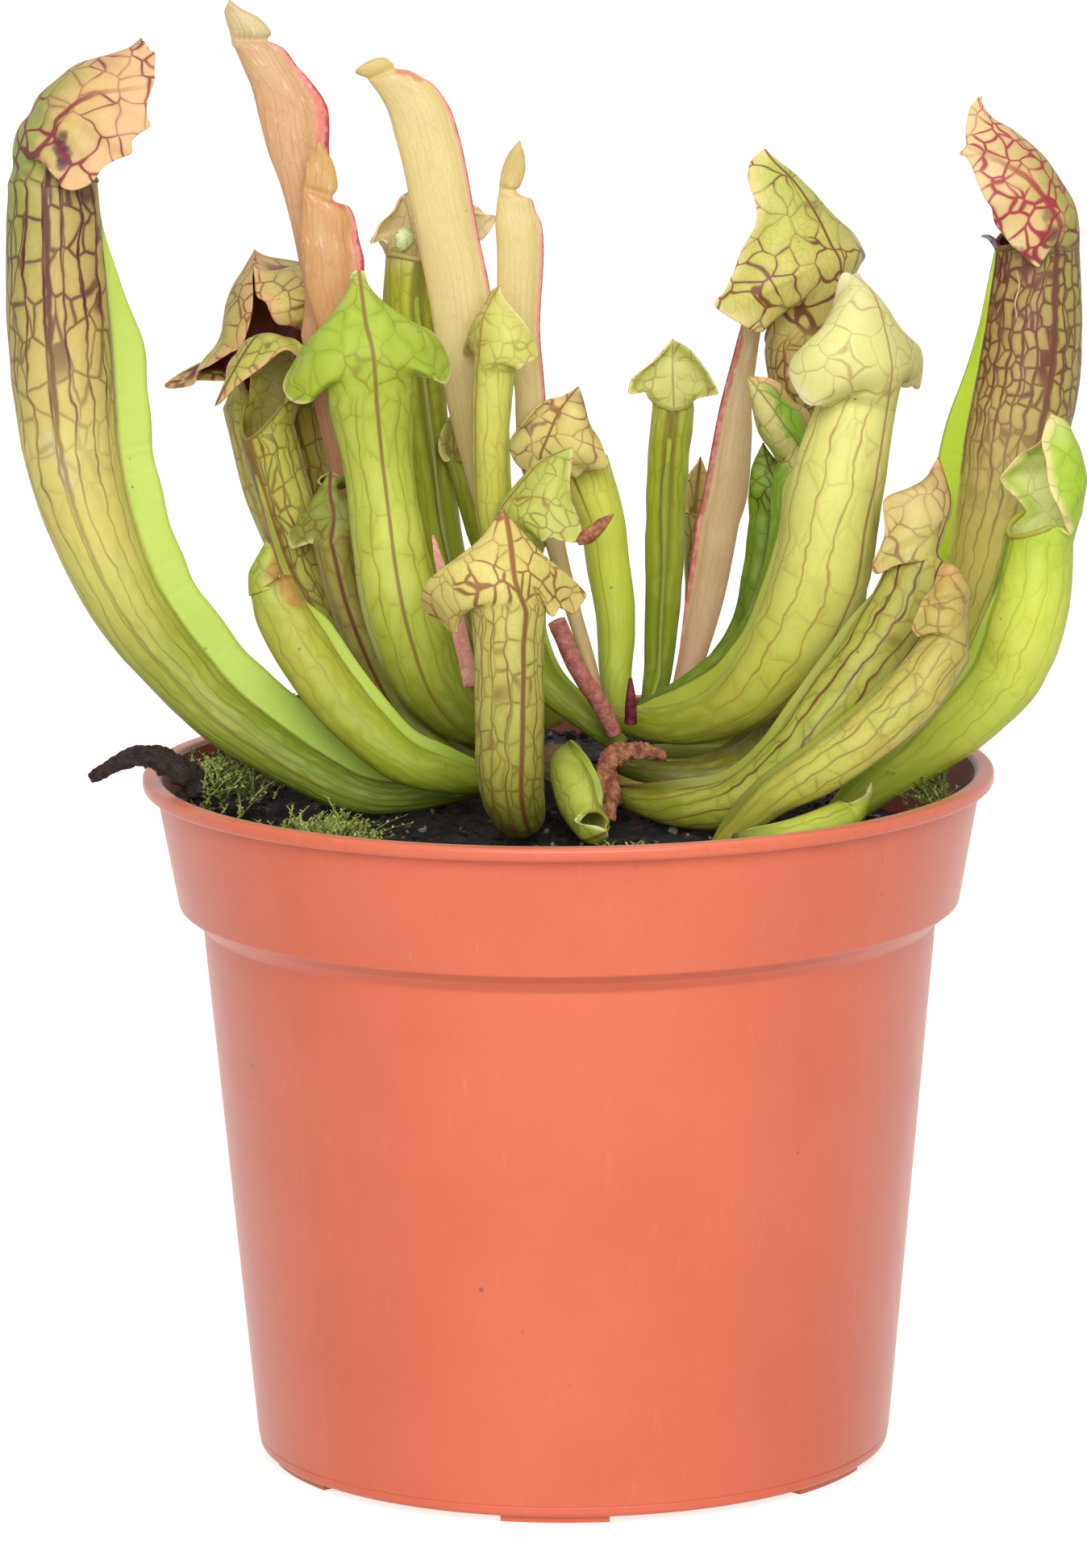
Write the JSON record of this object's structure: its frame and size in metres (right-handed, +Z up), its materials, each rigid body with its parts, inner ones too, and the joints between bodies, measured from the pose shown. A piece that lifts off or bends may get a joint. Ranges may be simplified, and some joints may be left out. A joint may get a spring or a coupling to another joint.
{
  "type": "potted pitcher plant",
  "caption": "Pitcher plant in a terracotta-orange plastic nursery pot: a clump of hooded, red-veined tubular leaves curving out of dark peat, with young tan pitchers still closed.",
  "frame": {"origin": "centre of the pot's underside, on the surface that the pot stands on", "axes": "+Z up, -Y towards the viewer who faces the plant, +X to that viewer's right"},
  "size_m": [0.149, 0.12, 0.2058],
  "materials": {
    "terracotta_plastic": "satin injection-moulded polypropylene",
    "peat": "damp fibrous peat",
    "rhizome_skin": "knobbly, matt",
    "stalk_skin": "smooth, dusty maroon",
    "bud_skin": "smooth, deep maroon",
    "bark": "rough black bark",
    "dead_leaf_skin": "dry and wrinkled",
    "leaf_green": "waxy green with a fine red-brown net of veins",
    "leaf_lime": "waxy yellow-green with reddish veins",
    "leaf_olive": "waxy olive with a maroon net of veins and a peach hood",
    "leaf_rust": "waxy green-brown with heavy dark red veins",
    "leaf_tan": "waxy tan with fine parallel pink lines"
  },
  "bodies": {
    "root": {"bark_piece": "bark", "dead_leaf": "dead_leaf_skin", "flower_stalk": "stalk_skin", "new_bud": "bud_skin", "pitcher_back_mid": "leaf_green", "pitcher_dark_small_right": "leaf_green", "pitcher_drooping_front": "leaf_green", "pitcher_front": "leaf_lime", "pitcher_green_far_right": "leaf_green", "pitcher_green_left": "leaf_green", "pitcher_hooded_mid": "leaf_lime", "pitcher_low_left": "leaf_lime", "pitcher_low_right": "leaf_olive", "pitcher_open_back_left": "leaf_olive", "pitcher_pale_right": "leaf_lime", "pitcher_rim_small": "leaf_green", "pitcher_round_mouth": "leaf_green", "pitcher_slim_left": "leaf_olive", "pitcher_slim_mid": "leaf_lime", "pitcher_slim_right": "leaf_green", "pitcher_small_behind": "leaf_lime", "pitcher_small_open_left": "leaf_olive", "pitcher_small_right": "leaf_green", "pitcher_striped_behind": "leaf_lime", "pitcher_tall_left": "leaf_olive", "pitcher_tall_right": "leaf_rust", "pitcher_tan_hood_right": "leaf_olive", "pitcher_veined_right": "leaf_rust", "pot": "terracotta_plastic", "potting_soil": "peat", "rhizome": "rhizome_skin", "young_pitcher_middle": "leaf_tan", "young_pitcher_right": "leaf_tan", "young_pitcher_short_left": "leaf_tan", "young_pitcher_tall_left": "leaf_tan", "young_pitcher_tall_middle": "leaf_tan"}
  },
  "joints": []
}
